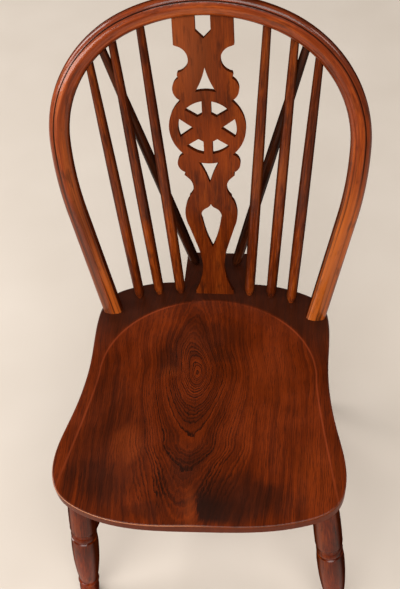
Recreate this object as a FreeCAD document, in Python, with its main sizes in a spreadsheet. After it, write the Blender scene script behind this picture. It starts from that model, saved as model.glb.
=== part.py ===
"""Wheelback chair: a saddled elm seat on turned legs, a bent hoop, a pierced wheel splat and back sticks.

Millimetres, +Z up, the front of the seat towards -Y. The origin is on the floor, under the middle
of the chair's bounding box. Most sizes are taken from the seat's datum: the point on the flat of
the seat where the front face of the splat stands, x to the right and y towards the back.
"""
import FreeCAD, Part
import math
import os
import Sketcher
from FreeCAD import Matrix, Placement, Rotation, Vector

doc = FreeCAD.newDocument("wheelback_chair")

SIZES = {
    # where the seat's datum is, from the floor and from the middle of the bounding box
    "seat_height": 435,
    "datum_y": 141.3,
    # seat board: half widths and the places where the outline turns, from the datum
    "seat_thick": 36,
    "seat_edge": 22,
    "seat_rim_round": 2.5,
    "seat_back_y": 24,
    "seat_corner_half": 176,
    "seat_corner_y": -14,
    "seat_waist_half": 187,
    "seat_waist_y": -140,
    "seat_widest_half": 212.5,
    "seat_widest_y": -325,
    "seat_front_y": -407,
    "seat_front_skew": 2.5,
    "seat_bevel_side": 12,
    "seat_bevel_front": 14,
    "tail_half": 54,
    "tail_end_y": 90,
    "tail_corner": 8,
    # saddle: an elliptical back, sides that flare forwards, a ridge left at the front
    "saddle_depth": 10,
    "saddle_half": 170,
    "saddle_length": 145,
    "saddle_centre_y": -160,
    "saddle_flare": 0.2,
    "saddle_flare_ease": 50,
    "saddle_steepness": 5,
    "saddle_front_depth": 6,
    "saddle_ridge": 4,
    "saddle_ridge_half": 42,
    # hoop: rake in degrees, then the centre line from the foot to the crown
    "hoop_rake": 17.85,
    "hoop_front_y": -49.3,
    "hoop_foot_width": 31,
    "hoop_foot_depth": 23,
    "hoop_crown_width": 28.5,
    "hoop_crown_depth": 21.5,
    "hoop_round": 8,
    "hoop_crowning": 1.2,
    "hoop_foot_half": 166.3,
    "hoop_lean": 12.2,
    "hoop_straight": 189,
    "hoop_side_bend": 546,
    "hoop_shoulder_bend": 193.5,
    "hoop_crown_bend": 254.8,
    "hoop_sink": 12,
    "hoop_tenon_dia": 19,
    "bead_out": 6.5,
    "bead_wide": 2.4,
    "wedge_wide": 14,
    "wedge_thick": 3.2,
    "wedge_long": 20,
    # splat: rake in degrees, heights along its slope from the seat
    "splat_rake": 13.15,
    "splat_lean": 0.22,
    "splat_thick": 8.5,
    "splat_tongue": 15,
    "splat_top": 486,
    "splat_foot_half": 29.8,
    "splat_lip_out": 1.4,
    "splat_lip_tall": 7,
    "splat_neck_half": 17.4,
    "splat_belly_half": 40.5,
    "splat_block_half": 41.8,
    "wheel_height": 305.6,
    "wheel_outer": 56,
    "wheel_inner": 42.6,
    # back sticks and stays: the seat ends' distance from the front face of the splat, then each one's
    # foot on the seat and its head on the hoop's centre line, out from the middle
    "stick_foot_dia": 10.5,
    "stick_shoulder": 16,
    "stick_shoulder_dia": 16.4,
    "stick_swell_dia": 17.2,
    "stick_neck_dia": 14.2,
    "stick_top_dia": 11.2,
    "stick_socket": 20,
    "outer_foot_y": -9,
    "middle_foot_y": 0.5,
    "inner_foot_y": 4,
    "stay_foot_y": 66.5,
    "left_outer_foot": 125.3,
    "left_outer_head": 163.8,
    "left_middle_foot": 93.3,
    "left_middle_head": 128.6,
    "left_inner_foot": 57.8,
    "left_inner_head": 88,
    "left_stay_foot": 37.9,
    "left_stay_head": 146.5,
    "right_outer_foot": 126.3,
    "right_outer_head": 156.6,
    "right_middle_foot": 92.9,
    "right_middle_head": 122.7,
    "right_inner_foot": 57,
    "right_inner_head": 85.3,
    "right_stay_foot": 30.5,
    "right_stay_head": 141.3,
    # legs: heights along the leg's axis from the floor
    "leg_front_top_x": 181.5,
    "leg_front_top_y": -322,
    "leg_front_foot_x": 222,
    "leg_front_foot_y": -366,
    "leg_back_top_x": 120,
    "leg_back_top_y": -55,
    "leg_back_foot_x": 168,
    "leg_back_foot_y": 54,
    "leg_tenon_dia": 22,
    "leg_tenon_long": 19,
    "leg_top_dia": 33,
    "leg_cup_height": 255,
    "leg_cup_dia": 43.5,
    "leg_rim_height": 249,
    "leg_rim_dia": 40.5,
    "leg_bead_height": 231,
    "leg_bead_tall": 14,
    "leg_bead_dia": 42.5,
    "leg_groove_dia": 38,
    "leg_vase_height": 184,
    "leg_vase_dia": 45,
    "leg_neck_height": 74,
    "leg_neck_dia": 32.5,
    "leg_reel_dia": 29,
    "leg_pear_height": 38,
    "leg_pear_dia": 34,
    "leg_foot_dia": 25,
    # stretchers
    "stretcher_height": 180,
    "stretcher_tenon_dia": 16,
    "stretcher_tenon_long": 34,
    "stretcher_belly_dia": 27,
    "cross_tenon_long": 20,
    "cross_ring_out": 34,
}

# sheet of driving dimensions
sheet = doc.addObject("Spreadsheet::Sheet", "sizes")
for row, (alias, value) in enumerate(SIZES.items(), start=1):
    sheet.set(f"A{row}", alias)
    sheet.set(f"B{row}", str(value))
    sheet.setAlias(f"B{row}", alias)
doc.recompute()


def size(alias):
    """A driving dimension, read from the sheet."""
    return float(sheet.get(alias))


def at_seat(x, y, z=0.0):
    """A point given from the seat's datum."""
    return Vector(x, y + size("datum_y"), z + size("seat_height"))


def raked(front_y, degrees, back=0.0):
    """A plane leaning back from the seat: its x is the chair's, its y runs up the slope, z faces the front."""
    lean = math.radians(degrees)
    away = Vector(0, math.cos(lean), -math.sin(lean)) * back
    return Placement(at_seat(0, front_y) + away, Rotation(Vector(1, 0, 0), 90 - degrees))


def along(foot, head):
    """A placement at foot whose Z axis points to head."""
    return Placement(foot, Rotation(Vector(0, 0, 1), head - foot))


def label(piece, name):
    """Names the object that holds a finished piece."""
    piece.Label = name
    return piece


def cut(base, tool, name):
    """What is left of base when tool is taken away."""
    piece = doc.addObject("Part::Cut", name)
    piece.Base = base
    piece.Tool = tool
    return piece


def join(pieces, name):
    """Several touching shapes as one."""
    piece = doc.addObject("Part::MultiFuse", name)
    piece.Shapes = pieces
    return piece


def group(pieces, name):
    """Several separate shapes, used together as a tool."""
    piece = doc.addObject("Part::Compound", name)
    piece.Links = pieces
    return piece


def shaped(name, shape):
    """A free-form shape that Part's functions make from sizes in the sheet."""
    piece = doc.addObject("Part::Feature", name)
    piece.Shape = shape
    return piece


def bound(sketch, constraint, expression):
    """Adds a constraint to a sketch and binds its value to the sheet."""
    index = sketch.addConstraint(constraint)
    sketch.setExpression(f"Constraints[{index}]", expression)


# Turned pieces

def bowed(start, end, bow):
    """A line, or an arc that swells (bow > 0) or hollows (bow < 0) the profile by bow between two points."""
    if bow == 0:
        return Part.LineSegment(start, end)
    chord = end - start
    outward = Vector(chord.y, -chord.x, 0).normalize()
    return Part.Arc(start, (start + end) * 0.5 + outward * bow, end)


def turned(name, stations):
    """A body turned about its Z axis, through stations (height, diameter, bow of the curve up to here).

    Heights and diameters are expressions in the sheet's sizes.
    """
    body = doc.addObject("PartDesign::Body", name)
    plane = next(item for item in body.Origin.OriginFeatures if item.Role == "XZ_Plane")
    sketch = body.newObject("Sketcher::SketchObject", name + "_profile")
    sketch.AttachmentSupport = [(plane, "")]
    sketch.MapMode = "FlatFace"
    points = [Vector(float(sheet.evalExpression(f"({dia}) / 2")), float(sheet.evalExpression(height)), 0)
              for height, dia, _ in stations]
    low, high = Vector(0, points[0].y, 0), Vector(0, points[-1].y, 0)
    corners = [low] + points + [high]
    bows = [0, 0] + [bow for _, _, bow in stations[1:]] + [0]
    edges = [bowed(a, b, bow) for a, b, bow in zip(corners, corners[1:], bows[1:])]
    edges.append(Part.LineSegment(high, low))
    sketch.addGeometry(edges, False)

    def end_at(index, point):
        return min((1, 2), key=lambda end: sketch.getPoint(index, end).distanceToPoint(point))

    corners_after = corners[1:] + [low]
    for index, corner in enumerate(corners_after):
        following = (index + 1) % len(edges)
        sketch.addConstraint(Sketcher.Constraint(
            "Coincident", index, end_at(index, corner), following, end_at(following, corner)))
    for index, (height, dia, _) in enumerate(stations):
        end = end_at(index, points[index])
        bound(sketch, Sketcher.Constraint("DistanceX", index, end, points[index].x), f"({dia}) / 2")
        bound(sketch, Sketcher.Constraint("DistanceY", index, end, points[index].y), height)
    vertical_axis = -2
    sketch.addConstraint(Sketcher.Constraint("PointOnObject", 0, end_at(0, low), vertical_axis))
    last = len(edges) - 2
    sketch.addConstraint(Sketcher.Constraint("PointOnObject", last, end_at(last, high), vertical_axis))
    sketch.addConstraint(Sketcher.Constraint("Horizontal", 0))
    sketch.addConstraint(Sketcher.Constraint("Horizontal", last))
    revolution = body.newObject("PartDesign::Revolution", name + "_turning")
    revolution.Profile = sketch
    revolution.ReferenceAxis = (sketch, ["V_Axis"])
    revolution.Angle = 360
    body.Tip = revolution
    return body


def leg_stations(length):
    """The leg's turning from below the floor, where it is cut level, to the top of its tenon."""
    ring_top = "sizes.leg_neck_height"
    bead_low = "sizes.leg_bead_height - sizes.leg_bead_tall / 2"
    bead_high = "sizes.leg_bead_height + sizes.leg_bead_tall / 2"
    bead_swell = (size("leg_bead_dia") - size("leg_groove_dia")) / 2
    return [
        ("-12", "sizes.leg_foot_dia - 2", 0),
        ("sizes.leg_pear_height", "sizes.leg_pear_dia", 1.5),
        (f"{ring_top} - 16", "sizes.leg_reel_dia", 1.2),
        (f"{ring_top} - 11", "sizes.leg_reel_dia", 0),
        (f"{ring_top} - 1", "sizes.leg_neck_dia - 1", 3.2),
        (ring_top, "sizes.leg_neck_dia", 0),
        ("sizes.leg_vase_height", "sizes.leg_vase_dia", 1.6),
        (f"{bead_low} - 3", "sizes.leg_bead_dia", 0.5),
        (f"{bead_low} - 2", "sizes.leg_groove_dia", 0),
        (bead_low, "sizes.leg_groove_dia", 0),
        (bead_high, "sizes.leg_groove_dia", bead_swell),
        (f"{bead_high} + 2", "sizes.leg_groove_dia", 0),
        ("sizes.leg_rim_height - 1", "sizes.leg_rim_dia - 1", -0.8),
        ("sizes.leg_rim_height", "sizes.leg_rim_dia", 0),
        ("sizes.leg_cup_height", "sizes.leg_cup_dia", 0.6),
        (str(length), "sizes.leg_top_dia", 1.6),
        (str(length), "sizes.leg_tenon_dia", 0),
        (f"{length} + sizes.leg_tenon_long", "sizes.leg_tenon_dia", 0),
    ]


def stick_stations(length):
    """A back stick: a slim round foot, a swelling at a third of its height and a thinner top."""
    return [
        ("-sizes.stick_socket", "sizes.stick_foot_dia", 0),
        ("0", "sizes.stick_foot_dia", 0),
        ("sizes.stick_shoulder", "sizes.stick_shoulder_dia", 1.2),
        (f"{length / 3:.2f}", "sizes.stick_swell_dia", 0.1),
        (f"{length * 0.75:.2f}", "sizes.stick_neck_dia", 0.2),
        (f"{length:.2f}", "sizes.stick_top_dia", 0),
    ]


def side_stretcher_stations(length):
    """A side stretcher swells evenly between its two tenons."""
    tenon = "sizes.stretcher_tenon_long"
    return [
        ("0", "sizes.stretcher_tenon_dia", 0),
        (tenon, "sizes.stretcher_tenon_dia", 0),
        (f"{length / 2:.2f}", "sizes.stretcher_belly_dia", 1.6),
        (f"{length:.2f} - {tenon}", "sizes.stretcher_tenon_dia", 1.6),
        (f"{length:.2f}", "sizes.stretcher_tenon_dia", 0),
    ]


def cross_stretcher_stations(length):
    """The cross stretcher: two rings either side of a barrel in the middle."""
    tenon = "sizes.cross_tenon_long"
    middle = length / 2
    ring = "sizes.cross_ring_out"
    return [
        ("0", "sizes.stretcher_tenon_dia", 0),
        (tenon, "sizes.stretcher_tenon_dia", 0),
        (f"{middle:.2f} - {ring} - 8", "sizes.stretcher_belly_dia - 4", 1.2),
        (f"{middle:.2f} - {ring} - 5", "sizes.stretcher_belly_dia - 6", 0),
        (f"{middle:.2f} - {ring} + 3", "sizes.stretcher_belly_dia - 6", 3),
        (f"{middle:.2f} - {ring} + 6", "sizes.stretcher_belly_dia - 4", 0),
        (f"{middle:.2f} + {ring} - 6", "sizes.stretcher_belly_dia - 4", 2),
        (f"{middle:.2f} + {ring} - 3", "sizes.stretcher_belly_dia - 6", 0),
        (f"{middle:.2f} + {ring} + 5", "sizes.stretcher_belly_dia - 6", 3),
        (f"{middle:.2f} + {ring} + 8", "sizes.stretcher_belly_dia - 4", 0),
        (f"{length:.2f} - {tenon}", "sizes.stretcher_tenon_dia", 1.2),
        (f"{length:.2f}", "sizes.stretcher_tenon_dia", 0),
    ]


# Seat board

def seat_side(side):
    """Half of the bell-shaped outline, from the back round the corner and the waist to the front.

    The left front stands a little forwards of the right.
    """
    corner_x, corner_y = size("seat_corner_half"), size("seat_corner_y")
    waist_x, waist_y = size("seat_waist_half"), size("seat_waist_y")
    widest_x, widest_y = size("seat_widest_half"), size("seat_widest_y")
    front_y, skew = size("seat_front_y"), side * size("seat_front_skew")
    flare_y = waist_y * 0.43 + widest_y * 0.57
    back = [(corner_x * 0.54, size("seat_back_y") - 3), (corner_x * 0.8, corner_y + 22.5)]
    flank = [(corner_x, corner_y), (waist_x + 1.5, corner_y - 46), (waist_x, waist_y),
             ((waist_x + widest_x) / 2, flare_y), (widest_x, widest_y), (widest_x - 11, widest_y - 38)]
    front = [(widest_x * 0.73, front_y + 15.5 + skew), (widest_x * 0.35, front_y + 1.3 + skew)]
    return [(side * x, y) for x, y in back + flank + front]


def seat_outline():
    """The outline as a closed smooth curve, at the height where the bevel begins."""
    ring = [(0, size("seat_back_y"))] + seat_side(1) + [(0, size("seat_front_y"))] + seat_side(-1)[::-1]
    curve = Part.BSplineCurve()
    curve.interpolate(Points=[at_seat(x, y, -size("seat_edge")) for x, y in ring], PeriodicFlag=True)
    return Part.Wire([curve.toShape()])


def bevelled(outline):
    """The outline of the underside: drawn in at the sides and the front, and lower by the bevel."""
    pivot = at_seat(0, -20)
    shrink = Matrix()
    shrink.move(-pivot)
    shrink.scale(1 - size("seat_bevel_side") / size("seat_widest_half"),
                 1 - size("seat_bevel_front") / (pivot.y - at_seat(0, size("seat_front_y")).y), 1)
    shrink.move(pivot + Vector(0, 0, size("seat_edge") - size("seat_thick")))
    return outline.transformGeometry(shrink)


def saddle_level(x, y):
    """Height of the dished top over the seat's flat: 0 on the saddle's edge, below 0 inside it."""
    centre_y, depth = size("saddle_centre_y"), size("saddle_depth")
    forward = max(0.0, centre_y - y)
    half = size("saddle_half") + size("saddle_flare") * forward ** 2 / (forward + size("saddle_flare_ease"))
    behind = max(0.0, y - centre_y) / size("saddle_length")
    reach = math.hypot(x / half, behind)
    run = forward / (centre_y - size("seat_front_y"))
    ease = run * run * (3 - 2 * min(run, 1.0)) if run < 1 else 1.0
    floor = depth + (size("saddle_front_depth") - depth) * ease
    ridge = size("saddle_ridge") * ease * ease * math.exp(-(x / size("saddle_ridge_half")) ** 2)
    clear_of_board = 1.6
    return floor * (min(reach, clear_of_board) ** size("saddle_steepness") - 1) + ridge


def saddle_cutter():
    """The block of air over the dished top: a smooth sheet through the saddle's heights, thickened upwards."""
    step = 20
    reach_x, back_y, front_y = 240, 20, -440
    rows = []
    for y in range(front_y, back_y + 1, step):
        rows.append([at_seat(x, y, saddle_level(x, y)) for x in range(-reach_x, reach_x + 1, step)])
    surface = Part.BSplineSurface()
    surface.interpolate(rows)
    above = 60
    return surface.toShape().extrude(Vector(0, 0, above))


def seat_blank():
    """The saddled board with its bevelled underside and its tail, before any socket is bored."""
    edge, thick = size("seat_edge"), size("seat_thick")
    outline = seat_outline()
    upper = Part.Face(outline).extrude(Vector(0, 0, edge))
    lower = Part.makeLoft([outline, bevelled(outline)], True, True)
    half, end_y, corner = size("tail_half"), size("tail_end_y"), size("tail_corner")
    root_y = -20
    tail = Part.makeBox(2 * half, end_y - root_y, thick, at_seat(-half, root_y, -thick))
    tail_corners = [e for e in tail.Edges if abs(e.BoundBox.YMax - e.BoundBox.YMin) < 1e-6
                    and e.BoundBox.ZLength > thick / 2 and e.BoundBox.YMax > at_seat(0, end_y - 1).y]
    tail = tail.makeFillet(corner, tail_corners)
    board = upper.fuse(lower).fuse(tail).cut(saddle_cutter()).removeSplitter()
    return rounded_rim(board)


def rounded_rim(board):
    """The board with the top edge of the bell rounded over; the tail's edges stay crisp."""
    top = at_seat(0, 0, -size("seat_edge") / 2).z
    ahead = at_seat(0, size("seat_waist_y")).y
    upright = [face for face in board.Faces
               if abs(face.normalAt(*face.Surface.parameter(face.CenterOfMass)).z) < 0.01]
    rim = [edge for face in upright for edge in face.Edges
           if edge.BoundBox.ZMin > top and edge.BoundBox.YMin < ahead]
    return board.makeFillet(size("seat_rim_round"), rim)


blank = shaped("seat_board", seat_blank())

# Hoop

hoop_place = raked(size("hoop_front_y"), size("hoop_rake"), size("hoop_foot_depth") / 2)
lean = math.radians(size("hoop_lean"))
heading = Vector(math.sin(lean), math.cos(lean), 0)
outward = Vector(math.cos(lean), -math.sin(lean), 0)
hoop_foot = Vector(size("hoop_foot_half"), 0, 0)


class HoopLine:
    """The right half of a bow parallel to the hoop's centre line: a straight leg and three tangent arcs."""

    def __init__(self, inset=0.0):
        self.start = hoop_foot - heading * size("hoop_sink") - outward * inset
        self.leg_end = hoop_foot + heading * size("hoop_straight") - outward * inset
        self.side = size("hoop_side_bend") - inset
        self.shoulder = size("hoop_shoulder_bend") - inset
        self.crown = size("hoop_crown_bend") - inset
        self.side_centre = self.leg_end - outward * self.side
        self.shoulder_centre = self.side_centre + Vector(self.side - self.shoulder, 0, 0)
        self.turn = math.acos(self.shoulder_centre.x / (self.crown - self.shoulder))
        self.crown_centre = Vector(0, self.shoulder_centre.y
                                   - (self.crown - self.shoulder) * math.sin(self.turn), 0)

    def edges(self):
        up = Vector(0, 0, 1)
        return [
            Part.LineSegment(self.start, self.leg_end),
            Part.ArcOfCircle(Part.Circle(self.side_centre, up, self.side), -lean, 0),
            Part.ArcOfCircle(Part.Circle(self.shoulder_centre, up, self.shoulder), 0, self.turn),
            Part.ArcOfCircle(Part.Circle(self.crown_centre, up, self.crown), self.turn, math.pi / 2),
        ]

    def rise(self, x):
        """Height up the slope at half width x, on the shoulder or the crown."""
        if x > self.crown * math.cos(self.turn):
            return self.shoulder_centre.y + math.sqrt(self.shoulder ** 2 - (x - self.shoulder_centre.x) ** 2)
        return self.crown_centre.y + math.sqrt(self.crown ** 2 - x ** 2)


def hoop_path():
    """The right half of the hoop's centre line, drawn in the hoop's plane and bound to the sheet."""
    line = HoopLine()
    sketch = doc.addObject("Sketcher::SketchObject", "hoop_path")
    sketch.Placement = hoop_place
    leg, side, shoulder, crown = sketch.addGeometry(line.edges(), False)
    first, last, centre, vertical_axis = 1, 2, 3, -2
    for before, after in ((leg, side), (side, shoulder), (shoulder, crown)):
        sketch.addConstraint(Sketcher.Constraint("Tangent", before, last, after, first))
    sketch.addConstraint(Sketcher.Constraint("Horizontal", side, last, side, centre))
    sketch.addConstraint(Sketcher.Constraint("PointOnObject", crown, last, vertical_axis))
    sketch.addConstraint(Sketcher.Constraint("PointOnObject", crown, centre, vertical_axis))
    bound(sketch, Sketcher.Constraint("Radius", side, line.side), "sizes.hoop_side_bend")
    bound(sketch, Sketcher.Constraint("Radius", shoulder, line.shoulder), "sizes.hoop_shoulder_bend")
    bound(sketch, Sketcher.Constraint("Radius", crown, line.crown), "sizes.hoop_crown_bend")
    bound(sketch, Sketcher.Constraint("DistanceX", leg, last, line.leg_end.x),
          "sizes.hoop_foot_half + sizes.hoop_straight * sin(sizes.hoop_lean * 1 deg)")
    bound(sketch, Sketcher.Constraint("DistanceY", leg, last, line.leg_end.y),
          "sizes.hoop_straight * cos(sizes.hoop_lean * 1 deg)")
    bound(sketch, Sketcher.Constraint("Distance", leg, size("hoop_straight") + size("hoop_sink")),
          "sizes.hoop_straight + sizes.hoop_sink")
    return sketch


def hoop_section(place, start, out):
    """The moulded section at the foot or the crown: flat sides, round corners and a front crowned a little."""
    half_w, half_d = size(f"hoop_{place}_width") / 2, size(f"hoop_{place}_depth") / 2
    r, crowning = size("hoop_round"), size("hoop_crowning")
    k = r * (1 - math.sqrt(0.5))

    def corner(sx, sy):
        points = [Vector(sx * half_w, sy * (half_d - r - crowning), 0),
                  Vector(sx * (half_w - k), sy * (half_d - k - crowning), 0),
                  Vector(sx * (half_w - r), sy * (half_d - crowning), 0)]
        return points if sx == sy else points[::-1]

    front_right, back_right = corner(1, 1), corner(1, -1)
    back_left, front_left = corner(-1, -1), corner(-1, 1)
    edges = []
    for points in (front_right, front_left, back_left, back_right):
        edges.append(Part.Arc(*points))
    edges.append(Part.Arc(front_right[2], Vector(0, half_d, 0), front_left[0]))
    edges.append(Part.LineSegment(front_left[2], back_left[0]))
    edges.append(Part.Arc(back_left[2], Vector(0, -half_d, 0), back_right[0]))
    edges.append(Part.LineSegment(back_right[2], front_right[0]))
    section = Part.Wire(Part.__sortEdges__([edge.toShape() for edge in edges]))
    turn = Rotation(out, Vector(0, 0, 1), out.cross(Vector(0, 0, 1)), "ZXY")
    piece = shaped(f"hoop_section_{place}", section)
    piece.Placement = hoop_place * Placement(start, turn)
    return piece


def swept(name, sections, path, count):
    """A solid through the sections, carried along the first count edges of a path."""
    piece = doc.addObject("Part::Sweep", name)
    piece.Sections = sections
    piece.Spine = (path, [f"Edge{index + 1}" for index in range(count)])
    piece.Solid = True
    piece.Frenet = False
    return piece


def mirrored(source, name):
    """The same shape on the other side of the chair."""
    piece = doc.addObject("Part::Mirroring", name)
    piece.Source = source
    piece.Normal = Vector(1, 0, 0)
    return piece


def hoop_world(point):
    """A point of the hoop's plane in the chair's frame."""
    return hoop_place.multVec(point)


bow = HoopLine()
sections = [hoop_section("foot", bow.start, outward),
            hoop_section("crown", bow.crown_centre + Vector(0, bow.crown, 0), Vector(0, 1, 0))]
half_hoop = swept("hoop_half", sections, hoop_path(), len(bow.edges()))
whole_hoop = join([half_hoop, mirrored(half_hoop, "hoop_other_half")], "hoop_bow")
whole_hoop.Refine = True
below_seat = doc.addObject("Part::Box", "below_seat")
below_seat.Length, below_seat.Width, below_seat.Height = 600, 300, 80
below_seat.Placement = Placement(at_seat(-300, -250, -80), Rotation())
hoop_above = cut(whole_hoop, below_seat, "hoop_above_seat")


def hoop_tenon(side):
    """The round foot of the hoop, through the seat and flush with its underside."""
    into_bow, reach = 8, 60
    top = hoop_foot + heading * into_bow
    low = top - heading * reach
    cylinder = doc.addObject("Part::Cylinder", f"hoop_tenon_{side}")
    cylinder.setExpression("Radius", "sizes.hoop_tenon_dia / 2")
    cylinder.Height = reach
    cylinder.Placement = along(hoop_world(low), hoop_world(top))
    return cylinder


right_tenon = hoop_tenon("right")
tenons = group([right_tenon, mirrored(right_tenon, "hoop_tenon_left")], "hoop_tenons")
tenons_in_seat = doc.addObject("Part::Common", "hoop_tenons_in_seat")
tenons_in_seat.Base = blank
tenons_in_seat.Tool = tenons


def hoop_wedge():
    """A slim wedge driven up the foot of the hoop from under the seat."""
    wide, thick, long = size("wedge_wide"), size("wedge_thick"), size("wedge_long")
    tip_half, proud = 0.3, 8
    wedge = doc.addObject("Part::Wedge", "hoop_wedge_right")
    wedge.Xmin, wedge.Xmax = -wide / 2, wide / 2
    wedge.X2min, wedge.X2max = -wide / 2, wide / 2
    wedge.Zmin, wedge.Zmax = -thick / 2, thick / 2
    wedge.Z2min, wedge.Z2max = -tip_half, tip_half
    wedge.Ymin, wedge.Ymax = 0, long + proud
    low = hoop_world(hoop_foot - heading * (size("seat_thick") + proud))
    up = (hoop_world(hoop_foot) - low).normalize()
    across = Vector(0, 1, 0).cross(up).normalize()
    wedge.Placement = Placement(low, Rotation(across.cross(up), up, across, "YZX"))
    return wedge


wedge = hoop_wedge()
wedges = group([wedge, mirrored(wedge, "hoop_wedge_left")], "hoop_wedges_long")
hoop_wedges = doc.addObject("Part::Common", "hoop_wedges_flush")
hoop_wedges.Base = blank
hoop_wedges.Tool = wedges
label(hoop_wedges, "hoop_wedges")


def bead_line():
    """The fine groove along the hoop's front, near its outer edge, from shoulder to shoulder."""
    line = HoopLine(-size("bead_out"))
    radius = size("bead_wide") / 2
    arcs = [edge.toShape() for edge in line.edges()[2:]]
    start = line.shoulder_centre + Vector(line.shoulder, 0, 0)
    circle = Part.Wire([Part.Circle(start, Vector(0, 1, 0), radius).toShape()])
    groove = Part.Wire(arcs).makePipeShell([circle], True, False).fuse(Part.makeSphere(radius, start))
    piece = shaped("bead_groove_right", groove)
    front = (size("hoop_foot_depth") + size("hoop_crown_depth")) / 4
    piece.Placement = hoop_place * Placement(Vector(0, 0, front), Rotation())
    return piece


groove = bead_line()
bead = join([groove, mirrored(groove, "bead_groove_left")], "bead_groove")
hoop_moulded = cut(hoop_above, bead, "hoop_moulded")
hoop_whole = join([hoop_moulded, tenons_in_seat], "hoop_with_feet")

# Splat


def wire_of(start, steps):
    """A closed outline of lines (x, y) and arcs ((x, y) midway, (x, y) end) from start back to start."""
    edges = []
    here = Vector(*start, 0)
    for step in steps:
        if isinstance(step[0], tuple):
            end = Vector(*step[1], 0)
            edges.append(Part.Arc(here, Vector(*step[0], 0), end).toShape())
        else:
            end = Vector(*step, 0)
            edges.append(Part.LineSegment(here, end).toShape())
        here = end
    return Part.Wire(edges)


def flipped(start, steps):
    """The steps that lead back from the end of a half outline along its mirror image."""
    stations = [start] + [step[1] if isinstance(step[0], tuple) else step for step in steps]
    back = []
    for index in range(len(steps) - 1, -1, -1):
        target = (-stations[index][0], stations[index][1])
        if isinstance(steps[index][0], tuple):
            midway = steps[index][0]
            back.append(((-midway[0], midway[1]), target))
        else:
            back.append(target)
    return back


def splat_outline():
    """The splat's edge, from the middle of its foot up the right side, and back down the left."""
    hub = size("wheel_height")
    foot, neck = size("splat_foot_half"), size("splat_neck_half")
    belly, block = size("splat_belly_half"), size("splat_block_half")
    ring = size("wheel_outer")
    ring_x, ring_y = ring * math.cos(math.radians(50)), ring * math.sin(math.radians(50))
    lip = foot + size("splat_lip_out")
    start = (0, -size("splat_tongue"))
    steps = [
        (foot, -size("splat_tongue")),
        (foot, 0),
        (lip, 0),
        (lip, size("splat_lip_tall")),
        (foot, size("splat_lip_tall") + 1.5),
        ((neck + 3, 35), (neck, 60)),
        ((neck + 2.6, 80), (neck + 8, 101)),
        (belly - 5, 134),
        ((belly, 160), (belly - 5, 182)),
        (belly - 8, 186),
        (belly - 8.2, 190),
        ((25.4, 208), (33, 223)),
        (37.8, 227.5),
        (36.3, 232.5),
        ((46.9, 247.5), (ring_x, hub - ring_y)),
        ((ring, hub), (ring_x, hub + ring_y)),
        ((47.3, hub + 60), (37.4, hub + 77)),
        (39.4, hub + 81),
        (38.6, hub + 85),
        ((22.6, hub + 104.5), (38, hub + 123.4)),
        (block, hub + 125),
        (block - 0.6, size("splat_top")),
        (10.6, size("splat_top")),
        (10.6, 450),
        (0, 439.5),
    ]
    return wire_of(start, steps + flipped(start, steps))


def wheel_openings():
    """The six openings between the wheel's spokes."""
    hub, rim = size("wheel_height"), size("wheel_inner")
    corner_x, corner_y = 31.6, 28.6
    spoke_half = 6.6
    rim_at = math.sqrt(rim ** 2 - spoke_half ** 2)
    side_y = 14.5
    side_x = math.sqrt(rim ** 2 - side_y ** 2)
    middle = math.radians((math.degrees(math.atan2(corner_y, corner_x)) + 81) / 2)
    wires = []
    for sx in (1, -1):
        wires.append(wire_of((sx * 20, hub), [
            (sx * side_x, hub + side_y),
            ((sx * rim, hub), (sx * side_x, hub - side_y)),
            (sx * 20, hub)]))
        for sy in (1, -1):
            wires.append(wire_of((sx * spoke_half, hub + sy * 21.8), [
                (sx * spoke_half, hub + sy * rim_at),
                ((sx * rim * math.cos(middle), hub + sy * rim * math.sin(middle)),
                 (sx * corner_x, hub + sy * corner_y)),
                (sx * 13.9, hub + sy * 17.6),
                (sx * spoke_half, hub + sy * 21.8)]))
    return wires


def spear_openings():
    """The three-cornered openings over and under the wheel, each with a side that follows its rim."""
    hub = size("wheel_height")
    rim = size("wheel_outer") + 2
    half = 15.2
    rise = math.sqrt(rim ** 2 - half ** 2)
    wires = []
    for sign, apex, bow in ((1, 92.5, 1.8), (-1, 91.5, 1.2)):
        middle_y = hub + sign * (rise + apex) / 2
        wires.append(wire_of((0, hub + sign * apex), [
            ((half / 2 - bow, middle_y), (half, hub + sign * rise)),
            ((0, hub + sign * rim), (-half, hub + sign * rise)),
            ((-half / 2 + bow, middle_y), (0, hub + sign * apex))]))
    return wires


def drop_opening():
    """The drop-shaped opening in the belly, with an ogee top."""
    start = (0, 176)
    half = [((3.4, 171.2), (7.6, 168.6)), ((14.3, 161.5), (14.3, 147)), ((8.6, 119.5), (0, 95.5))]
    return wire_of(start, half + flipped(start, half))


def splat_board():
    """The flat pierced board, extruded backwards from its front face."""
    wires = [splat_outline()] + wheel_openings() + spear_openings() + [drop_opening()]
    face = shaped("splat_face", Part.makeFace(wires, "Part::FaceMakerBullseye"))
    face.Placement = raked(0, size("splat_rake")) * Placement(
        Vector(), Rotation(Vector(0, 0, 1), size("splat_lean")))
    board = doc.addObject("Part::Extrusion", "splat_board")
    board.Base = face
    board.DirMode = "Normal"
    board.setExpression("LengthFwd", "sizes.splat_thick")
    board.Solid = True
    board.Reversed = True
    return board


splat = label(splat_board(), "splat")

# Back sticks and stays



def back_stick(side_name, side, place):
    """A straight stick from its socket in the seat to the middle of the hoop."""
    head_x = size(f"{side_name}_{place}_head")
    foot = at_seat(side * size(f"{side_name}_{place}_foot"), size(f"{place}_foot_y"))
    head = hoop_world(Vector(side * head_x, bow.rise(head_x), 0))
    name = f"stay_{side_name}" if place == "stay" else f"stick_{side_name}_{place}"
    stick = turned(name, stick_stations((head - foot).Length))
    stick.Placement = along(foot, head)
    return stick


SIDES = (("left", -1), ("right", 1))
sticks = [back_stick(side_name, side, place)
          for side_name, side in SIDES for place in ("outer", "middle", "inner", "stay")]

# Legs and stretchers

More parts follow.
